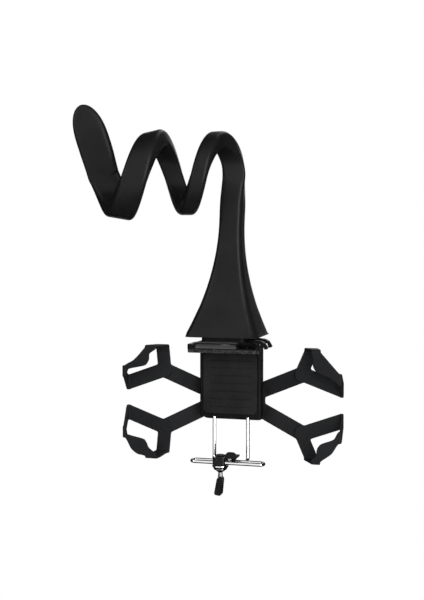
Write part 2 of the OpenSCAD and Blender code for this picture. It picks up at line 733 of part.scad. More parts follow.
module band_button() {
    color([0.06, 0.06, 0.065])
    translate([0, 0, button_z]) {
        along_y(4, body_back + 0.2, cover_back + 0.1);
        along_y(6, cover_back, cover_back + band_t + 0.4);
        along_y(button_d, cover_back + band_t + 0.35, cover_back + band_t + 1.6);
        translate([0, cover_back + band_t + 1.6, 0]) rotate([-90, 0, 0])
            cylinder(d1 = button_d, d2 = button_d - 3, h = 0.8);
    }
}

module wire_bushes() {
    color([0.9, 0.9, 0.86])
    for (x = [-1, 1]) translate([x*leg_x, wire_y, 0]) difference() {
        rod(bush_d, body_bot + 0.5, body_bot + 0.5 + bush_h);
        rod(wire_d + 2*leg_fit, body_bot, body_bot + bush_h + 1);
    }
}
module stop_bar() {
    color([0.2, 0.2, 0.22])
    difference() {
        box(-pocket_x + 0.4, pocket_x - 0.4, body_front + front_wall + 0.3, body_back - 0.3,
            leg_top - stop_h, leg_top);
        for (x = [-1, 1]) translate([x*leg_x, wire_y, 0]) rod(wire_d, leg_top - stop_h - 1, leg_top + 1);
    }
}
module wire_jaw() {
    color([0.8, 0.81, 0.83]) {
        translate([loop_shift, loop_y, loop_z]) {
            for (y = [-1, 1]) translate([0, y*loop_gap/2, 0]) along_x(wire_d, -loop_half, loop_half);
            for (s = [0, 1]) rotate([0, 0, 180*s]) translate([loop_half, 0, 0])
                rotate([0, 0, -90]) rotate_extrude(angle = 180) translate([loop_r, 0]) circle(d = wire_d);
        }
        for (x = [-1, 1]) translate([x*leg_x, 0, 0]) {
            translate([0, wire_y, 0]) rod(wire_d, loop_z + leg_bend, leg_top);
            translate([0, wire_y - leg_bend, loop_z + leg_bend]) rotate([90, 0, 90]) rotate([0, 0, -90])
                rotate_extrude(angle = 90) translate([leg_bend, 0]) circle(d = wire_d);
            translate([0, 0, loop_z]) along_y(wire_d, far_y, wire_y - leg_bend);
        }
    }
}
module jaw_hook() {
    nose = phone_front - 0.35;
    front = nose - hook_t;
    top = phone_bot + hook_rise;
    shelf = phone_bot - 0.25;
    under = shelf - hook_foot;
    back = far_y + wire_d/2 + 0.6;
    color([0.07, 0.07, 0.07])
    difference() {
        union() {
            intersection() {
                side_extrude(hook_x - hook_w/2, hook_x + hook_w/2) polygon([
                    [front, under + 0.4], [front, top - 0.8], [front + 0.8, top], [nose - 0.6, top],
                    [nose, top - 0.6], [nose, shelf], [back, shelf], [back, under], [front + 0.4, under]]);
                translate([hook_x, 0, top - 10]) front_extrude(front - 1, back + 1)
                    plate(hook_w, 20, hook_w/2 - 0.9);
            }
            box(hook_x - 1.2, hook_x + 1.2, far_y - wire_d/2 - 0.6, back, loop_z + 0.2, under + eps);
        }
        translate([0, far_y, loop_z]) along_x(wire_d, hook_x - hook_w, hook_x + hook_w);
    }
}
module bridge_block() {
    color([0.06, 0.06, 0.065])
    translate([screw_x, loop_y, 0]) difference() {
        union() {
            intersection() {
                slab(block_w, block_l, block_r, block_bot, block_top);
                translate([0, 0, block_top - 10]) front_extrude(-block_l, block_l)
                    plate(block_w, 20, block_shoulder);
            }
            for (i = [-2:2]) for (y = [-1, 1]) translate([i*rib_pitch, y*block_l/2, 0])
                rod(rib_d, loop_z + wire_d/2 + 0.3, block_top - 0.5, $fn = 16);
        }
        for (y = [-1, 1]) translate([0, y*loop_gap/2, loop_z]) along_x(wire_d, -block_w, block_w);
        rod(press_d + 0.4, seat_z, block_top + 1);
        rod(screw_d + 0.4, block_bot - 1, seat_z + eps);
    }
}
module screw_nut() {
    color([0.8, 0.81, 0.83])
    translate([screw_x, loop_y, 0]) difference() {
        rotate_extrude() polygon([
            [0, block_bot], [nut_top_d/2, block_bot], [flange_nut_d/2, block_bot - 0.8],
            [flange_nut_d/2, block_bot - 1.5], [nut_foot_d/2, nut_bot], [0, nut_bot]]);
        rod(screw_d + 2*screw_fit, nut_bot - 1, block_bot + 1);
    }
}
module pressure_pad() {
    color([0.08, 0.08, 0.08])
    translate([screw_x, loop_y, 0]) difference() {
        union() {
            rod(press_d, press_bot, press_top - 0.3);
            translate([0, 0, press_top - 0.3]) cylinder(d1 = press_d, d2 = press_d - 0.8, h = 0.3);
        }
        rod(2.2 + 2*screw_fit, press_bot - 1, press_bot + 0.9);
    }
}
module clamp_screw() {
    neck_z = pin_z + lever_top_w/2 + 0.2;
    color([0.8, 0.81, 0.83])
    translate([screw_x, loop_y, 0]) difference() {
        union() {
            rod(2.2, press_bot - 0.5, press_bot + 0.8);
            rod(screw_d, collar_bot, press_bot - 0.1);
            translate([0, 0, collar_bot]) cylinder(d1 = screw_d + 0.2, d2 = collar_d, h = collar_h - 0.4);
            rod(collar_d, collar_top - 0.4, collar_top);
            rod(screw_d, neck_z, collar_bot + eps);
            intersection() {
                rod(screw_d + 0.4, pin_z - 1.7, neck_z + 0.5);
                box(-3, 3, -tang_t/2, tang_t/2, pin_z - 2, neck_z + 0.5);
            }
        }
        translate([0, 0, pin_z]) along_y(pin_d + 2*pin_fit, -4, 4);
    }
}
module lever_pin() {
    color([0.6, 0.6, 0.62])
    translate([screw_x, loop_y, pin_z]) along_y(pin_d, -lever_t/2, lever_t/2);
}
// a round top joined by straight sides to a flat end with two round corners
module paddle(top_d, low_w, r, run) {
    c = low_w/2 - r;
    a = atan2(c, run) + asin((r - top_d/2)/norm([c, run]));
    circle(d = top_d);
    for (s = [-1, 1]) translate([s*c, -run]) circle(r);
    polygon([[top_d/2*cos(a), top_d/2*sin(a)], [-top_d/2*cos(a), top_d/2*sin(a)],
        [-c - r*cos(a), r*sin(a) - run], [-c, -run - r], [c, -run - r], [c + r*cos(a), r*sin(a) - run]]);
}
module thumb_lever() {
    slot = tang_t/2 + 0.15;
    run = lever_l - lever_r;
    color([0.08, 0.08, 0.085])
    translate([screw_x, loop_y, pin_z]) rotate([0, lever_lean, 0]) difference() {
        front_extrude(-lever_t/2, lever_t/2) paddle(lever_top_w, lever_w, lever_r, run);
        box(-4, 4, -slot, slot, -2.6, 4);
        along_y(pin_d, -4, 4);
        for (y = [-1, 1]) translate([0, y*lever_t/2, -2.9]) front_extrude(-0.9, 0.9)
            paddle(2, 2.8, 0.9, run - 4.6);
    }
}

// The band, drawn for the upper right corner about the middle of the held space
band_fit = 0.15;
pl = phone_l/2;
ph = phone_h/2;
f0 = phone_front - band_fit;
b0 = phone_back + band_fit;
function bend(p0, p1, p2, p3, t) = 0.5*(2*p1 + (p2 - p0)*t + (2*p0 - 5*p1 + 4*p2 - p3)*t*t
    + (3*p1 - p0 - 3*p2 + p3)*t*t*t);
// knots of the strap's inner edge, the strap lying a little further from the corner
function inner_knots(more) = let(x = pl - strap_bulge - more, z = ph - strap_bulge) [
    [pl - strap_far - more - 0.4, ph + 4], [pl - strap_far - more, ph], [x - 3, ph - 4.6],
    [x - 2.9, ph - 8.6], [x - 1.5, z + 2], [x + 0.5, z + 0.4], [pl - 6.5, z - 2], [pl - 3.4, z - 4.2],
    [pl, ph - side_far], [pl + 2, ph - side_far - 2]];
function inner_edge(more) = let(q = inner_knots(more)) [for (k = [1:7]) for (j = [0:2])
    bend(q[k - 1], q[k], q[k + 1], q[k + 2], j/3)];
module front_strap(more) {
    polygon(concat(inner_edge(more),
        [[pl, ph - side_far], [pl, ph - side_near], [pl - strap_near - more/2, ph]]));
}
hub_x = back_w/2 + 1.2;
arm_in = [hub_x - 1, cover_back + 0.1 + band_t/2, hub_h/2 - band_arm/2 - 1];
arm_out = [pl - 24, b0 + band_t/2, ph - 15];
module strip(p, q, w, over) {
    d = q - p;
    run = sqrt(d[0]*d[0] + d[2]*d[2]);
    translate(p) rotate([0, -atan2(d[2], d[0]), 0]) rotate([0, 0, atan2(d[1], run)])
        translate([-over, -band_t/2, -w/2]) cube([norm(d) + 2*over, band_t, w]);
}
// outline round the held space's edge, with the edge at zero
wrap_r = 1.4;
wrap_leg = 0.6;
module u_wrap() {
    difference() {
        translate([(f0 + b0)/2, -3]) plate(b0 - f0 + 2*band_t, 2*(band_fit + band_t) + 6, wrap_r);
        translate([f0, -10]) square([b0 - f0, 10 + band_fit]);
        translate([f0 - 10, -20]) square([b0 - f0 + 20, 20 - wrap_leg]);
    }
}
// slanting course of a strap over the edge, from its place on the front to its place on the back
module course(front_a, front_b, back_a, back_b) {
    polygon([[f0 - band_t - 1, front_a], [f0 - band_t - 1, front_b], [f0, front_b], [b0, back_b],
        [b0 + band_t + 1, back_b], [b0 + band_t + 1, back_a], [b0, back_a], [f0, front_a]]);
}
module band_corner(more) {
    far = pl - strap_far - more;
    near = pl - strap_near - more/2;
    behind_far = pl - back_far - more;
    behind_near = pl - back_near - more;
    front_extrude(f0 - band_t, f0) front_strap(more);
    intersection() {
        translate([0, 0, ph]) side_extrude(behind_far, near) u_wrap();
        translate([0, 0, ph - 5]) linear_extrude(10) mirror([1, -1])
            course(far, near, behind_far, behind_near);
    }
    intersection() {
        translate([pl, 0, ph - side_back_far]) linear_extrude(side_back_far - side_near)
            rotate(-90) mirror([1, 0]) u_wrap();
        side_extrude(pl - 5, pl + 5)
            course(ph - side_far, ph - side_near, ph - side_back_far, ph - side_back_near);
    }
    // the two legs on the back, and the arm to the middle
    front_extrude(b0, b0 + band_t) union() {
        polygon([[behind_far, ph], [behind_near, ph], [arm_out[0] + 4.4, arm_out[2] + 2],
            [arm_out[0] - 4.6, arm_out[2] + 2]]);
        polygon([[pl, ph - side_back_far], [pl, ph - side_back_near], [arm_out[0] + 2, arm_out[2] + 4.4],
            [arm_out[0], arm_out[2] - 4.8]]);
        translate([arm_out[0], arm_out[2]]) circle(d = band_arm);
    }
}
module corner_band() {
    color([0.06, 0.062, 0.07])
    difference() {
        union() {
            for (x = [0, 1]) for (z = [0, 1]) {
                translate([phone_shift, 0, phone_mid]) mirror([x, 0, 0]) mirror([0, 0, z])
                    band_corner(x*left_more);
                sx = 1 - 2*x;
                sz = 1 - 2*z;
                strip([sx*arm_in[0], arm_in[1], phone_mid + sz*arm_in[2]],
                    [phone_shift + sx*arm_out[0], arm_out[1], phone_mid + sz*arm_out[2]], band_arm, 1);
            }
            translate([0, 0, phone_mid]) front_extrude(cover_back + 0.1, cover_back + 0.1 + band_t)
                plate(2*hub_x, hub_h, 5);
        }
        translate([0, 0, button_z]) along_y(6.2, cover_back - 1, cover_back + band_t + 1);
        box(-back_w/2 - 0.1, back_w/2 + 0.1, body_front, cover_back + 0.1, body_bot - 10, jaw_top + 1);
    }
}

arm_rubber();
core_wires();
core_ferrule();
base_insert();
socket_plate();
socket_screws();
buckle();
pivot_nut();
pivot_screw();
pivot_washer();
clamp_body();
jaw_pad();
back_pad();
back_cover();
cover_screws();
band_button();
corner_band();
wire_bushes();
stop_bar();
wire_jaw();
jaw_hook();
bridge_block();
screw_nut();
pressure_pad();
clamp_screw();
lever_pin();
thumb_lever();
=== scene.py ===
"""Looks for the phone handlebar mount: soft pieces, materials, light and the photograph's camera."""

import math

import bmesh
import bpy
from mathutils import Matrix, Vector


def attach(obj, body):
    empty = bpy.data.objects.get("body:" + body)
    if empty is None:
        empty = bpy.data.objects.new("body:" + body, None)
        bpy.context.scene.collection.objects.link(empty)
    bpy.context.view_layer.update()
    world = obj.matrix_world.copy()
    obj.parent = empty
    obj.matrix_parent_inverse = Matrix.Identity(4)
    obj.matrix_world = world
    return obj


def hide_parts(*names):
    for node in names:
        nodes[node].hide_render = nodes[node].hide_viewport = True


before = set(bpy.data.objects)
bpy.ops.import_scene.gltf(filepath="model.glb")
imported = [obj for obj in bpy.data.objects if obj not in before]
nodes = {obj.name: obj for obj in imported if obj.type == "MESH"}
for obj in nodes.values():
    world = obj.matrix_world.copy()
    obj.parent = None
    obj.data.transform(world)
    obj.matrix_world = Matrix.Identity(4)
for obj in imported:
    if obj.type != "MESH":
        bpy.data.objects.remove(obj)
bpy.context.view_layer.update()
scene = bpy.context.scene
MM = 0.001


# Shader helpers

# rays that the rounding of an edge takes
EDGE_SAMPLES = 6


def found(tree, kind):
    """The first node of a kind in a tree."""
    return [node for node in tree.nodes if node.type == kind][0]


def new_material(name):
    """A material with one Principled shader, and the coordinates of the object that it is on."""
    mat = bpy.data.materials.new(name)
    mat.use_nodes = True
    tree = mat.node_tree
    tree.nodes.clear()
    out = tree.nodes.new("ShaderNodeOutputMaterial")
    bsdf = tree.nodes.new("ShaderNodeBsdfPrincipled")
    tree.links.new(bsdf.outputs["BSDF"], out.inputs["Surface"])
    coords = tree.nodes.new("ShaderNodeTexCoord")
    return mat, tree, bsdf, coords.outputs["Object"]


def noise(tree, vector, scale, detail, rough=0.55):
    """Cloudy noise with the given number of cells to the metre."""
    node = tree.nodes.new("ShaderNodeTexNoise")
    node.inputs["Scale"].default_value = scale
    node.inputs["Detail"].default_value = detail
    node.inputs["Roughness"].default_value = rough
    tree.links.new(vector, node.inputs["Vector"])
    return node.outputs["Fac"]


def ramp(tree, value, span, dark, light):
    """A colour that runs from dark to light over a span of the value."""
    node = tree.nodes.new("ShaderNodeValToRGB")
    for stop, position, colour in zip(node.color_ramp.elements, span, (dark, light)):
        stop.position = position
        stop.color = (*colour, 1)
    tree.links.new(value, node.inputs["Fac"])
    return node.outputs["Color"]


def spread(tree, value, span):
    """The value's range from nought to one, moved to another span."""
    node = tree.nodes.new("ShaderNodeMapRange")
    node.inputs["To Min"].default_value = span[0]
    node.inputs["To Max"].default_value = span[1]
    tree.links.new(value, node.inputs["Value"])
    return node.outputs["Result"]


def bump(tree, height, strength, depth, after=None):
    """Relief of a depth in millimetres, on top of another normal if there is one."""
    node = tree.nodes.new("ShaderNodeBump")
    node.inputs["Strength"].default_value = strength
    node.inputs["Distance"].default_value = depth*MM
    tree.links.new(height, node.inputs["Height"])
    if after is not None:
        tree.links.new(after, node.inputs["Normal"])
    return node.outputs["Normal"]


def rounded(tree, radius):
    """A normal that rounds sharp edges to a radius in millimetres."""
    node = tree.nodes.new("ShaderNodeBevel")
    node.samples = EDGE_SAMPLES
    node.inputs["Radius"].default_value = radius*MM
    return node.outputs["Normal"]


def combined(tree, operation, first, second):
    """Arithmetic on two sockets, or on a socket and a plain number."""
    node = tree.nodes.new("ShaderNodeMath")
    node.operation = operation
    tree.links.new(first, node.inputs[0])
    if isinstance(second, float):
        node.inputs[1].default_value = second
    else:
        tree.links.new(second, node.inputs[1])
    return node.outputs["Value"]


def inside(tree, obj, low, high):
    """One inside a box in the part's frame, in millimetres, and nought outside it."""
    split = tree.nodes.new("ShaderNodeSeparateXYZ")
    tree.links.new(obj, split.inputs["Vector"])
    mask = None
    for axis, least, most in zip("XYZ", low, high):
        above = combined(tree, "GREATER_THAN", split.outputs[axis], least*MM)
        below = combined(tree, "LESS_THAN", split.outputs[axis], most*MM)
        both = combined(tree, "MULTIPLY", above, below)
        mask = both if mask is None else combined(tree, "MULTIPLY", mask, both)
    return mask


# Materials: noise scales are cells to the metre, edges and depths are millimetres

MOTTLE_SCALE = 55.0
MOTTLE_SPAN = (0.35, 0.68)
GLOSS_SCALE = 260.0
GRAIN_STRENGTH = 0.35
HAZE_SCALE = 420.0
HAZE_SPAN = (0.3, 0.7)
HAZE_SHADE = 0.9
WIPE_SCALE = 3000.0
WIPE_STRENGTH = 0.06
WIPE_DEPTH = 0.04
CRUMB_SCALE = 1500.0
CRUMB_SPAN = (0.25, 0.95)
PIT_STRENGTH = 0.8
PIT_DEPTH = 0.18
FOAM_ROUGH = 0.82
FOAM_SPECULAR = 0.1


def moulded(name, dark, light, rough, grain, depth, edge=0.0, specular=0.5):
    """Moulded rubber or plastic: mottled colour, uneven gloss and a fine grain."""
    mat, tree, bsdf, obj = new_material(name)
    mottle = noise(tree, obj, MOTTLE_SCALE, detail=5.0)
    gloss = noise(tree, obj, GLOSS_SCALE, detail=3.0)
    tree.links.new(ramp(tree, mottle, MOTTLE_SPAN, dark, light), bsdf.inputs["Base Color"])
    tree.links.new(spread(tree, gloss, rough), bsdf.inputs["Roughness"])
    start = rounded(tree, edge) if edge else None
    pores = noise(tree, obj, grain, detail=3.0, rough=0.6)
    fine = bump(tree, pores, GRAIN_STRENGTH, depth, start)
    tree.links.new(fine, bsdf.inputs["Normal"])
    bsdf.inputs["Specular IOR Level"].default_value = specular
    return mat


def gloss_plastic(name):
    """Smooth black plastic, the same on the buckle and on the upper jaw."""
    return moulded(name, (0.003, 0.003, 0.0033), (0.005, 0.005, 0.0053),
                   rough=(0.2, 0.3), grain=3000.0, depth=0.01, edge=0.25, specular=0.05)


def paint_lit_patch(mat, low, high, colour, rough):
    """Paint light into a moulded material inside a box: a paler colour that stands in for a lit face or a
    highlight there, and a duller roughness.
    """
    tree = mat.node_tree
    bsdf = found(tree, "BSDF_PRINCIPLED")
    mask = inside(tree, found(tree, "TEX_COORD").outputs["Object"], low, high)
    # the paler colour mixed in here is painted light, not the plastic's own colour
    painted_light = tree.nodes.new("ShaderNodeMix")
    painted_light.data_type = "RGBA"
    painted_light.inputs["B"].default_value = (*colour, 1)
    dull = tree.nodes.new("ShaderNodeMix")
    dull.inputs["B"].default_value = rough
    for mix, socket in ((painted_light, bsdf.inputs["Base Color"]), (dull, bsdf.inputs["Roughness"])):
        tree.links.new(mask, mix.inputs["Factor"])
        tree.links.new(socket.links[0].from_socket, mix.inputs["A"])
        tree.links.new(mix.outputs["Result"], socket)


def plated(name, colour, rough, edge, drawn=0.0, rim=1.0):
    """Metal with haze and wipe marks. drawn is its brushing, and rim its brightness at a low angle."""
    mat, tree, bsdf, obj = new_material(name)
    haze = noise(tree, obj, HAZE_SCALE, detail=4.0)
    hazed = tuple(HAZE_SHADE*c for c in colour)
    tree.links.new(ramp(tree, haze, HAZE_SPAN, hazed, colour), bsdf.inputs["Base Color"])
    tree.links.new(spread(tree, haze, rough), bsdf.inputs["Roughness"])
    bsdf.inputs["Metallic"].default_value = 1.0
    bsdf.inputs["Anisotropic"].default_value = drawn
    bsdf.inputs["Specular Tint"].default_value = (rim, rim, rim, 1)
    wipes = noise(tree, obj, WIPE_SCALE, detail=2.0)
    fine = bump(tree, wipes, WIPE_STRENGTH, WIPE_DEPTH, rounded(tree, edge))
    tree.links.new(fine, bsdf.inputs["Normal"])
    return mat


def speckled(name, dark, light):
    """Closed-cell foam rubber: grey crumbs pressed into a dark sheet, with pits."""
    mat, tree, bsdf, obj = new_material(name)
    cells = tree.nodes.new("ShaderNodeTexVoronoi")
    cells.inputs["Scale"].default_value = CRUMB_SCALE
    tree.links.new(obj, cells.inputs["Vector"])
    crumbs = tree.nodes.new("ShaderNodeSeparateColor")
    tree.links.new(cells.outputs["Color"], crumbs.inputs["Color"])
    tree.links.new(ramp(tree, crumbs.outputs["Red"], CRUMB_SPAN, dark, light), bsdf.inputs["Base Color"])
    bsdf.inputs["Roughness"].default_value = FOAM_ROUGH
    bsdf.inputs["Specular IOR Level"].default_value = FOAM_SPECULAR
    tree.links.new(bump(tree, cells.outputs["Distance"], PIT_STRENGTH, PIT_DEPTH), bsdf.inputs["Normal"])
    return mat


rubber = moulded("rubber_arm", (0.005, 0.005, 0.0053), (0.0075, 0.0075, 0.0078),
                 rough=(0.32, 0.4), grain=2600.0, depth=0.05, specular=0.13)
rubber_small = moulded("rubber_small", (0.006, 0.006, 0.0064), (0.01, 0.01, 0.0104),
                       rough=(0.5, 0.62), grain=3600.0, depth=0.04, specular=0.08)
silicone = moulded("silicone_band", (0.0075, 0.0077, 0.0083), (0.0105, 0.0107, 0.0115),
                   rough=(0.44, 0.54), grain=1900.0, depth=0.04, specular=0.06)
foam = speckled("foam_speckle", (0.008, 0.008, 0.0084), (0.042, 0.042, 0.0435))
gloss_black = gloss_plastic("plastic_gloss")
jaw_black = gloss_plastic("plastic_jaw")
matte_black = moulded("plastic_matte", (0.003, 0.003, 0.0033), (0.0055, 0.0055, 0.0058),
                      rough=(0.34, 0.48), grain=4200.0, depth=0.03, edge=0.2, specular=0.05)
block_black = moulded("plastic_block", (0.003, 0.003, 0.0033), (0.006, 0.006, 0.0063),
                      rough=(0.2, 0.3), grain=3600.0, depth=0.01, edge=0.12, specular=0.16)
black_metal = moulded("black_plating", (0.003, 0.003, 0.0032), (0.005, 0.005, 0.0053),
                      rough=(0.08, 0.14), grain=2600.0, depth=0.01, edge=0.9, specular=0.12)
nylon = moulded("nylon", (0.6, 0.59, 0.55), (0.72, 0.71, 0.67),
                rough=(0.4, 0.52), grain=2600.0, depth=0.02, edge=0.1)
chrome = plated("chrome_plating", (0.9, 0.9, 0.91), rough=(0.05, 0.1), edge=0.3, rim=0.3)
# painted shade: the screw is the same chrome, given a dark colour that stands in for the dark surroundings it
# reflects
chrome_painted_dark = plated("screw_chrome_painted_dark", (0.26, 0.26, 0.27), rough=(0.08, 0.14), edge=0.3, rim=0.3)
steel = plated("steel", (0.56, 0.56, 0.57), rough=(0.24, 0.38), edge=0.12, drawn=0.3)
alloy = plated("alloy", (0.72, 0.73, 0.745), rough=(0.3, 0.42), edge=0.1, drawn=0.2)
brass = plated("brass", (0.72, 0.55, 0.25), rough=(0.22, 0.34), edge=0.15)

# painted light: the upper jaw's sloped front panel gets a paler colour that stands in for the light falling
# on its upward-facing slope
LIT_PANEL_LOW = (-19.7, 12.4, -107.9)
LIT_PANEL_HIGH = (6.9, 14.6, -105.36)
paint_lit_patch(jaw_black, LIT_PANEL_LOW, LIT_PANEL_HIGH, colour=(0.075, 0.075, 0.076), rough=0.5)

# and a painted highlight: the upper part of the buckle's front edge gets a paler colour that stands in for
# the light it catches
HIGHLIGHT_LOW = (-19.0, 10.4, -104.4)
HIGHLIGHT_HIGH = (8.0, 10.7, -103.25)
paint_lit_patch(gloss_black, HIGHLIGHT_LOW, HIGHLIGHT_HIGH, colour=(0.05, 0.05, 0.0505), rough=0.45)

node_materials = {
    "core_wires": alloy, "core_ferrule": brass, "base_insert": matte_black, "socket_plate": matte_black,
    "socket_screws": steel, "buckle": gloss_black, "pivot_nut": steel, "pivot_screw": steel,
    "pivot_washer": nylon, "clamp_body": jaw_black, "back_cover": matte_black, "cover_screws": steel,
    "band_button": matte_black, "wire_bushes": nylon, "stop_bar": matte_black, "wire_jaw": chrome,
    "bridge_block": block_black, "screw_nut": chrome, "clamp_screw": chrome_painted_dark,
    "lever_pin": black_metal, "thumb_lever": black_metal,
}
for name, mat in node_materials.items():
    nodes[name].data.materials.clear()
    nodes[name].data.materials.append(mat)


# The rubber arm: the same middle line as the solid, swept finely. Sizes are millimetres. Places on the coil
# are turns from the neck, with the top at a quarter of each turn. Places on the neck and the leaf are shares.

BORE_R = 14.3
YAW = math.radians(15.2)
TURNS = 2.0
# the coil's place along its axis at the neck, its travel in each turn, more travel in the first half turn,
# travel that grows with the turns, and the turns over which it starts slowly
START = 8.5
PITCH = 31.5
LEAD = 6.2
SPREAD = 1.7
EASE = 1/9

STRAP_W = 9.6
STRAP_T = 10.9
STRAP_R = 2.8
# how far the strap reaches into the bore before it is pressed out to the bore's surface
BITE = 0.8
NECK_W = 14.2
# turns over which the neck's thickness and width become the strap's
THIN_TURN = 0.25
NARROW_TURN = 0.35
# how late in the coil the strap widens towards the leaf
WIDEN_POWER = 1.7

# where the strap stands off the bore and where it rolls: place and span in turns, then millimetres or degrees
FIRST_TOP = 0.25
SECOND_TOP = 1.25
TOP_LIFT = 0.8
TOP_ROLL = 14.0
SLACKS = [
    (0.75, 0.15, 1.0),
    (1.8, 0.127, 4.9),
    (FIRST_TOP, 0.12, 0.6*TOP_LIFT),
    (SECOND_TOP, 0.12, TOP_LIFT),
]
ROLLS = [
    (1.81, 0.11, 13.0),
    (FIRST_TOP, 0.14, 0.25*TOP_ROLL),
    (SECOND_TOP, 0.14, TOP_ROLL),
]

LEAF_W = 20.5
LEAF_T = 8.1
LEAF_END_T = 3.4
LEAF_RISE = 42.8
LEAF_LEAN = 0.32
LEAF_BOW = 2.5
# turns over which the strap takes the leaf's thickness, and its share of the leaf's width at the root
LEAF_TURN = 0.45
LEAF_ROOT = 0.9
# shares of the leaf at which it has its full width, its end starts to round and its edge starts to thin
LEAF_FULL = 0.4
LEAF_ROUND = 0.48
LEAF_THIN = 0.9
# how blunt the round end is, and the least shares of width and thickness that are left at the tip
LEAF_ROUND_POWER = 2.5
LEAF_LEAST_W = 0.05
LEAF_LEAST_T = 0.35
# extra edge rounding on the leaf, and the share of the leaf over which it grows
LEAF_R_MORE = 1.6
LEAF_R_GROWS = 0.5
# the most that an edge may be rounded, as a share of the side
ROUND_LIMIT = 0.49

FOOT_DROP = 100.1
FOOT_W = 46.2
FOOT_D = 40.0
FOOT_R = 4.8
FOOT_Y = 21.5
FOOT_SHIFT = -0.9
FLARE_H = 72.0
# the share of the neck above which it turns to face along the coil
NECK_TWIST = 0.8
# the foot's lower edge is a small round of this size, with three points on it: inset and rise
RIM = 0.35
RIM_ARC = ((RIM, 0.0), (0.5*RIM, 0.13*RIM), (0.13*RIM, 0.5*RIM))
# a faint step in the skin where the plug ends inside the foot: its growth in width, its place and its length
STEP_T = 0.25
STEP_AT = 0.155
STEP_FADE = 0.012
SOCKET_L = 28.4
SOCKET_W = 33.0
SOCKET_R = 4.05
SOCKET_IN = 3.4
SOCKET_AIR = 0.05

# how many stations and section points there are, and how much the leaf's stations bunch at its tip
NECK_STEPS = 56
COIL_STEPS = 200
LEAF_STEPS = 40
LEAF_BUNCH = 1.7
ARC_STEPS = 6
FLAT_STEPS = 3


def smooth(x):
    """A smooth step from nought at nought to one at one."""
    t = min(1.0, max(0.0, x))
    return t*t*(3 - 2*t)


def turned(x, y, z):
    """A point or direction of the coil's own frame, in the part's frame."""
    return Vector((x*math.cos(YAW) - y*math.sin(YAW), x*math.sin(YAW) + y*math.cos(YAW), z))


def eased(n):
    """The turns made, with a slow start."""
    return n*n/(2*EASE) if n < EASE else n - EASE/2


def travel(n):
    """The place along the coil's axis."""
    return START - PITCH*eased(n) - LEAD*smooth(2*n) - SPREAD*n**3


def swells(n, humps):
    """The sum of smooth humps, each with a place, a span and a height."""
    return sum(height*math.exp(-((n - at)/span)**2) for at, span, height in humps)


def coil_thick(n):
    """The strap's thickness after n turns."""
    if n < THIN_TURN:
        return NECK_W + (STRAP_T - NECK_W)*smooth(n/THIN_TURN)
    return STRAP_T + (LEAF_T - STRAP_T)*smooth((n - TURNS + LEAF_TURN)/LEAF_TURN)


def coil_width(n):
    """The strap's width after n turns."""
    if n < NARROW_TURN:
        return NECK_W + (STRAP_W - NECK_W)*smooth(n/NARROW_TURN)
    grown = ((n - NARROW_TURN)/(TURNS - NARROW_TURN))**WIDEN_POWER
    return STRAP_W + (LEAF_W - STRAP_W)*LEAF_ROOT*grown


def coil_station(n):
    """Place, outward direction, width and thickness of the strap after n turns."""
    r = BORE_R - BITE + coil_thick(n)/2 + swells(n, SLACKS)
    a = 2*math.pi*n
    place = turned(travel(n), r*math.cos(a), r*math.sin(a))
    return place, turned(0, math.cos(a), math.sin(a)), coil_width(n), coil_thick(n)


def neck_station(s):
    """The same for the foot and the neck, from the foot's bottom to the coil."""
    top = coil_station(0.0)[0]
    flare = (1 - min(1.0, s*FOOT_DROP/FLARE_H))**2
    w = NECK_W + (FOOT_W - NECK_W)*flare
    t = NECK_W + (FOOT_D - NECK_W)*flare
    a = YAW*smooth((s - NECK_TWIST)/(1 - NECK_TWIST))
    x = FOOT_SHIFT + (top.x - FOOT_SHIFT)*s
    place = Vector((x, FOOT_Y + (top.y - FOOT_Y)*s, -FOOT_DROP*(1 - s)))
    return place, Vector((-math.sin(a), math.cos(a), 0)), w, t


def leaf_station(s):
    """The same for the leaf, from the coil to its tip."""
    t = LEAF_T + (LEAF_END_T - LEAF_T)*s
    x = travel(TURNS) - LEAF_LEAN*LEAF_RISE*s + LEAF_BOW*s*(1 - s)
    place = turned(x, BORE_R - BITE + t/2, LEAF_RISE*s)
    full = LEAF_ROOT + (1 - LEAF_ROOT)*smooth(s/LEAF_FULL)
    end = max(0.0, (s - LEAF_ROUND)/(1 - LEAF_ROUND))
    taper = math.sqrt(max(0.0, 1 - end**LEAF_ROUND_POWER))
    w = (STRAP_W + (LEAF_W - STRAP_W)*full)*max(LEAF_LEAST_W, taper)
    if s > LEAF_THIN:
        edge = math.sqrt(max(0.0, 1 - ((s - LEAF_THIN)/(1 - LEAF_THIN))**2))
        t = t*(LEAF_LEAST_T + (1 - LEAF_LEAST_T)*edge)
    return place, turned(0, 1, 0), w, t


def arm_stations():
    """Every station from the foot to the tip, with the stretch that it is on and how far along it lies."""
    out = []
    for i in range(NECK_STEPS):
        s = max(i/NECK_STEPS, RIM/FOOT_DROP)
        out.append((*neck_station(s), "neck", s))
    for i in range(COIL_STEPS + 1):
        n = TURNS*i/COIL_STEPS
        out.append((*coil_station(n), "coil", n))
    for i in range(1, LEAF_STEPS + 1):
        s = 1 - (1 - i/LEAF_STEPS)**LEAF_BUNCH
        out.append((*leaf_station(s), "leaf", s))
    return out


def section(w, t, rx, ry):
    """A rounded rectangle with the same number of points whatever its size."""
    def corner(k, turn):
        """A point on one of the four corners, a share of the way round it."""
        across = 1 if k in (0, 3) else -1
        up = 1 if k < 2 else -1
        a = math.pi/2*(k + turn)
        return across*(w/2 - rx) + rx*math.cos(a), up*(t/2 - ry) + ry*math.sin(a)

    points = []
    for k in range(4):
        points += [corner(k, j/ARC_STEPS) for j in range(ARC_STEPS + 1)]
        x0, y0 = points[-1]
        x1, y1 = corner((k + 1) % 4, 0)
        shares = [j/(FLAT_STEPS + 1) for j in range(1, FLAT_STEPS + 1)]
        points += [(x0 + (x1 - x0)*f, y0 + (y1 - y0)*f) for f in shares]
    return points


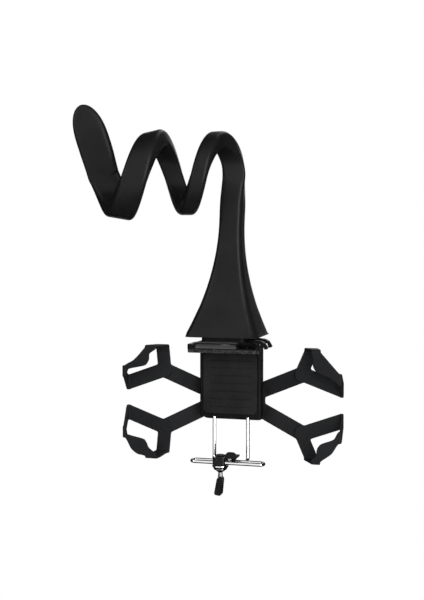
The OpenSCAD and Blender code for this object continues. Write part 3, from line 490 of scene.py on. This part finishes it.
def outlined(part, s, w, t):
    """The section of the strap at one station."""
    rx = STRAP_R
    ry = STRAP_R
    if part == "neck":
        more = STEP_T*(1 - smooth((s - STEP_AT)/STEP_FADE))
        w += more
        t += more
        rx = STRAP_R + (FOOT_R - STRAP_R)*(1 - s)**2
        ry = rx
    elif part == "leaf":
        rx = min(STRAP_R + LEAF_R_MORE*smooth(s/LEAF_R_GROWS), ROUND_LIMIT*w)
        ry = min(STRAP_R, ROUND_LIMIT*t)
    return section(w, t, rx, ry)


def off_the_bore(point, axis):
    """The point, moved out to the bore's surface if it lies inside it."""
    along = axis*point.dot(axis)
    out = point - along
    return along + out.normalized()*BORE_R if out.length < BORE_R else point


def strap_rings():
    """Rings of points from the bottom of the foot to the tip of the leaf."""
    stations = arm_stations()
    axis = turned(1, 0, 0)
    last = len(stations) - 1
    rings = []
    for i, (place, normal, w, t, part, s) in enumerate(stations):
        tangent = Vector((0, 0, 1))
        if i > 0:
            tangent = (stations[min(last, i + 1)][0] - stations[i - 1][0]).normalized()
        u = normal.cross(tangent).normalized()
        n = tangent.cross(u)
        if part == "coil":
            roll = math.radians(swells(s, ROLLS))
            u, n = u*math.cos(roll) + n*math.sin(roll), n*math.cos(roll) - u*math.sin(roll)
        rings.append([off_the_bore(place + u*a + n*b, axis) for a, b in outlined(part, s, w, t)])
    return rings


def foot_rings():
    """Rings for the pocket that takes the socket and for the foot's narrow lower rim."""
    centre = Vector((0, FOOT_Y, -FOOT_DROP))
    pocket = section(SOCKET_L + 2*SOCKET_AIR, SOCKET_W + 2*SOCKET_AIR, SOCKET_R, SOCKET_R)
    rings = [[centre + Vector((a, b, rise)) for a, b in pocket] for rise in (SOCKET_IN - SOCKET_AIR, 0.0)]
    for inset, rise in RIM_ARC:
        side = STEP_T - 2*inset
        rim = section(FOOT_W + side, FOOT_D + side, FOOT_R - inset, FOOT_R - inset)
        rings.append([centre + Vector((a + FOOT_SHIFT, b, rise)) for a, b in rim])
    return rings


def linked(name, mesh, mat):
    """A new object for a mesh, with its material and smooth faces."""
    for poly in mesh.polygons:
        poly.use_smooth = True
    mesh.materials.clear()
    mesh.materials.append(mat)
    obj = bpy.data.objects.new(name, mesh)
    scene.collection.objects.link(obj)
    return obj


def skinned(name, rings, mat):
    """A closed skin over rings of equal length."""
    bm = bmesh.new()
    rows = [[bm.verts.new(p*MM) for p in ring] for ring in rings]
    count = len(rows[0])
    for a, b in zip(rows[:-1], rows[1:]):
        for j in range(count):
            k = (j + 1) % count
            bm.faces.new((a[j], a[k], b[k], b[j]))
    bm.faces.new(list(reversed(rows[0])))
    bm.faces.new(rows[-1])
    bmesh.ops.recalc_face_normals(bm, faces=bm.faces[:])
    mesh = bpy.data.meshes.new(name)
    bm.to_mesh(mesh)
    bm.free()
    return linked(name, mesh, mat)


arm = skinned("arm_skin", foot_rings() + strap_rings(), rubber)
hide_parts("arm_rubber")
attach(arm, "arm")


# Soft pieces grown from their solids: remeshed finely and relaxed, so that every edge is rounded

# points closer than this are one, in millimetres, and the strength of each round of relaxing
WELD = 0.02
RELAX = 0.5


def soften(node, name, mat, body, voxel, rounds):
    """A skin for a soft node, from a grid in millimetres and a number of rounds of relaxing."""
    draft = bpy.data.objects.new(name + "_draft", nodes[node].data.copy())
    scene.collection.objects.link(draft)
    bm = bmesh.new()
    bm.from_mesh(draft.data)
    bmesh.ops.remove_doubles(bm, verts=bm.verts[:], dist=WELD*MM)
    bm.to_mesh(draft.data)
    bm.free()
    grid = draft.modifiers.new("grid", "REMESH")
    grid.mode = "VOXEL"
    grid.voxel_size = voxel*MM
    relax = draft.modifiers.new("relax", "SMOOTH")
    relax.factor = RELAX
    relax.iterations = rounds
    depsgraph = bpy.context.evaluated_depsgraph_get()
    mesh = bpy.data.meshes.new_from_object(draft.evaluated_get(depsgraph))
    bpy.data.objects.remove(draft)
    obj = linked(name, mesh, mat)
    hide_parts(node)
    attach(obj, body)
    return obj


band = soften("corner_band", "corner_band_skin", silicone, "clamp", voxel=0.4, rounds=10)
lip_pad = soften("jaw_pad", "jaw_foam", foam, "clamp", voxel=0.2, rounds=3)
soften("back_pad", "back_rest", rubber_small, "clamp", voxel=0.25, rounds=2)
soften("jaw_hook", "hook_skin", rubber_small, "jaw", voxel=0.2, rounds=4)
soften("pressure_pad", "press_skin", rubber_small, "pad", voxel=0.12, rounds=3)


# The band's front straps have slipped towards their corners, all but the upper right one. Sizes are
# millimetres. These are the sides of the space inside the band, and its front, where the slip is full.

HELD_LEFT = -67.5
HELD_RIGHT = 70.5
HELD_LOW = -175.6
HELD_HIGH = -108.6
HELD_FRONT = 16.0
# how far a corner reaches along x and along z, and how far behind the front the slip fades
CORNER_X = 45.0
CORNER_Z = 26.0
FADE_BACK = 7.0
# a strap's outer and inner edge, as distance from the short side plus distance from the long side
STRAP_OUTER = 13.0
STRAP_INNER = 23.0
# distance from a side over which the slip on that side becomes the slip on the front
FADE_SIDE = 6.0
FADE_START = -1.0

# x and z say which corner: 1 for the low end of that axis and -1 for the high end. inner and outer are how
# far the strap's two edges move towards the corner, along x and along z. side is the move along z where the
# strap wraps the short side, and sag is the move along z where it wraps the long side.
SLIPS = [
    {"x": 1, "z": -1, "inner": (4.0, 1.2), "outer": (-0.6, -0.4), "side": 1.0, "sag": 0.0},
    {"x": 1, "z": 1, "inner": (5.1, 4.5), "outer": (0.9, 6.7), "side": 4.4, "sag": 2.6},
    {"x": -1, "z": 1, "inner": (2.5, 1.8), "outer": (1.4, 1.4), "side": 1.4, "sag": 0.6},
]


def between(start, end, share):
    """The value a share of the way from start to end."""
    return start + (end - start)*share


def step(value, low, high):
    """A smooth step from nought at low to one at high."""
    return smooth((value - low)/(high - low))


def slipped(point, slip):
    """The move of one point of the band along x and along z, in metres, for one corner."""
    x, y, z = point/MM
    along = x - HELD_LEFT if slip["x"] > 0 else HELD_RIGHT - x
    across = z - HELD_LOW if slip["z"] > 0 else HELD_HIGH - z
    if along > CORNER_X or across > CORNER_Z:
        return 0.0, 0.0
    share = 1.0 - step(y - HELD_FRONT, 0.0, FADE_BACK)
    lean = step(along + across, STRAP_OUTER, STRAP_INNER)
    move_x, move_z = (between(a, b, lean) for a, b in zip(slip["outer"], slip["inner"]))
    inland = step(along, 0.0, FADE_SIDE)
    move_x *= inland*step(across, slip["sag"], slip["sag"] + FADE_SIDE)
    move_z = between(slip["side"], move_z, inland)
    move_z = between(slip["sag"], move_z, step(across, FADE_START, FADE_SIDE))
    return -slip["x"]*share*move_x*MM, -slip["z"]*share*move_z*MM


for vert in band.data.vertices:
    moves = [slipped(vert.co, slip) for slip in SLIPS]
    vert.co.x += sum(move[0] for move in moves)
    vert.co.z += sum(move[1] for move in moves)


# Studio: white surroundings for the camera and for reflections, soft lamps for the object. Sizes are metres.

WORLD_LIGHT = 0.5
AIM = Vector((0, 0.02, -0.08))
LAMPS = [
    {"name": "key", "place": (0.3, -0.95, 0.6), "size": (0.7, 0.5), "power": 8, "mirrored": False},
    {"name": "fill", "place": (-0.8, -0.7, 0.3), "size": (0.6, 0.6), "power": 2, "mirrored": True},
    {"name": "strip", "place": (0.58, -0.5, -0.02), "size": (0.36, 0.8), "power": 6, "mirrored": True},
    {"name": "back", "place": (0.1, 0.9, 0.7), "size": (0.5, 0.3), "power": 4, "mirrored": True},
]
# the dark cards' outer limits, the left end of the card behind, and the front of the two level cards
FLAG_X = 0.7
FLAG_FRONT = -0.4
FLAG_BACK = 1.0
FLAG_LOW = -0.44
FLAG_HIGH = 0.6
FLAG_GAP = 0.1
FLAG_NEAR = -0.3
FLOOR_Z = -0.45
FLOOR_HALF = 4.0
# the distances over which the floor's shaded middle fades into white
FLOOR_SHADOW = 0.18
FLOOR_WHITE = 0.48


def white_to_camera(tree, shaded, white, where=None):
    """Plain white for camera, mirror and see-through rays, and the shaded surface for all other light."""
    path = tree.nodes.new("ShaderNodeLightPath")
    seen = path.outputs["Is Camera Ray"]
    for other in ("Is Glossy Ray", "Is Transmission Ray"):
        seen = combined(tree, "MAXIMUM", seen, path.outputs[other])
    if where is not None:
        seen = combined(tree, "MULTIPLY", seen, where)
    mix = tree.nodes.new("ShaderNodeMixShader")
    tree.links.new(seen, mix.inputs["Fac"])
    tree.links.new(shaded, mix.inputs[1])
    tree.links.new(white, mix.inputs[2])
    return mix.outputs["Shader"]


def background(tree, strength):
    """White light from all sides."""
    node = tree.nodes.new("ShaderNodeBackground")
    node.inputs["Color"].default_value = (1, 1, 1, 1)
    node.inputs["Strength"].default_value = strength
    return node.outputs["Background"]


def surround():
    """The white world."""
    world = bpy.data.worlds.new("studio")
    scene.world = world
    world.use_nodes = True
    tree = world.node_tree
    tree.nodes.clear()
    out = tree.nodes.new("ShaderNodeOutputWorld")
    seen = white_to_camera(tree, background(tree, WORLD_LIGHT), background(tree, 1.0))
    tree.links.new(seen, out.inputs["Surface"])


def light(lamp):
    """A soft lamp that points at the middle of the part."""
    data = bpy.data.lights.new(lamp["name"], "AREA")
    data.shape = "RECTANGLE"
    data.size, data.size_y = lamp["size"]
    data.energy = lamp["power"]
    obj = bpy.data.objects.new(lamp["name"], data)
    obj.location = lamp["place"]
    obj.rotation_euler = (AIM - Vector(lamp["place"])).to_track_quat("-Z", "Y").to_euler()
    obj.visible_glossy = lamp["mirrored"]
    scene.collection.objects.link(obj)


def card(name, corners, mat):
    """A flat stage card with four corners."""
    mesh = bpy.data.meshes.new(name)
    mesh.from_pydata(corners, [], [(0, 1, 2, 3)])
    mesh.materials.append(mat)
    obj = bpy.data.objects.new(name, mesh)
    scene.collection.objects.link(obj)
    return obj


def flag(name, corners):
    """A dark card that only mirror rays see, so that bright metal and edges get some contrast."""
    mat, _, bsdf, _ = new_material(name)
    bsdf.inputs["Base Color"].default_value = (0.01, 0.01, 0.01, 1)
    bsdf.inputs["Specular IOR Level"].default_value = 0.0
    obj = card(name, corners, mat)
    obj.visible_camera = False
    obj.visible_diffuse = False
    obj.visible_shadow = False
    obj.visible_transmission = False


def upright(x0, y0, x1, y1):
    """The corners of an upright card from one floor point to another."""
    return [(x0, y0, FLAG_LOW), (x1, y1, FLAG_LOW), (x1, y1, FLAG_HIGH), (x0, y0, FLAG_HIGH)]


def level(z):
    """The corners of a level card above or below the part."""
    outline = ((-FLAG_X, FLAG_NEAR), (FLAG_X, FLAG_NEAR), (FLAG_X, FLAG_BACK), (-FLAG_X, FLAG_BACK))
    return [(x, y, z) for x, y in outline]


def floor():
    """A pale floor that keeps the part's shadow, and fades into the white further out."""
    mat, tree, bsdf, obj = new_material("floor_pale")
    bsdf.inputs["Base Color"].default_value = (0.95, 0.95, 0.95, 1)
    bsdf.inputs["Roughness"].default_value = 0.8
    white = tree.nodes.new("ShaderNodeEmission")
    white.inputs["Color"].default_value = (1, 1, 1, 1)
    far = tree.nodes.new("ShaderNodeVectorMath")
    far.operation = "LENGTH"
    tree.links.new(obj, far.inputs[0])
    fade = tree.nodes.new("ShaderNodeMapRange")
    fade.inputs["From Min"].default_value = FLOOR_SHADOW
    fade.inputs["From Max"].default_value = FLOOR_WHITE
    tree.links.new(far.outputs["Value"], fade.inputs["Value"])
    seen = white_to_camera(tree, bsdf.outputs["BSDF"], white.outputs["Emission"], fade.outputs["Result"])
    tree.links.new(seen, found(tree, "OUTPUT_MATERIAL").inputs["Surface"])
    corners = [(x*FLOOR_HALF, y*FLOOR_HALF, 0) for x, y in ((-1, -1), (1, -1), (1, 1), (-1, 1))]
    card("floor", corners, mat).location.z = FLOOR_Z


surround()
for lamp in LAMPS:
    light(lamp)
flag("flag_left", upright(-FLAG_X, FLAG_FRONT, -FLAG_X, FLAG_BACK))
flag("flag_right", upright(FLAG_X, FLAG_FRONT, FLAG_X, FLAG_BACK))
flag("flag_behind", upright(FLAG_X, FLAG_BACK, FLAG_GAP, FLAG_BACK))
flag("flag_top", level(FLAG_HIGH))
flag("flag_low", level(FLAG_LOW))
floor()


# The photograph's camera: its place in millimetres, its direction, and its focal length in pixels

CAMERA_AT = Vector((152.5, -579.6, -45.5))
AZIMUTH = math.radians(15.23)
ELEVATION = math.radians(2.984)
FOCAL_PIXELS = 988.0
PHOTO_HEIGHT = 600.0
SENSOR = 36.0
CLIP_START = 0.01

cam_data = bpy.data.cameras.new("camera")
cam_data.sensor_width = SENSOR
cam_data.lens = FOCAL_PIXELS*SENSOR/PHOTO_HEIGHT
cam_data.clip_start = CLIP_START
cam = bpy.data.objects.new("camera", cam_data)
cam.location = CAMERA_AT*MM
reach = math.cos(ELEVATION)
ahead = Vector((-math.sin(AZIMUTH)*reach, math.cos(AZIMUTH)*reach, -math.sin(ELEVATION)))
cam.rotation_euler = ahead.to_track_quat("-Z", "Y").to_euler()
scene.collection.objects.link(cam)
scene.camera = cam
scene.view_settings.view_transform = "Standard"
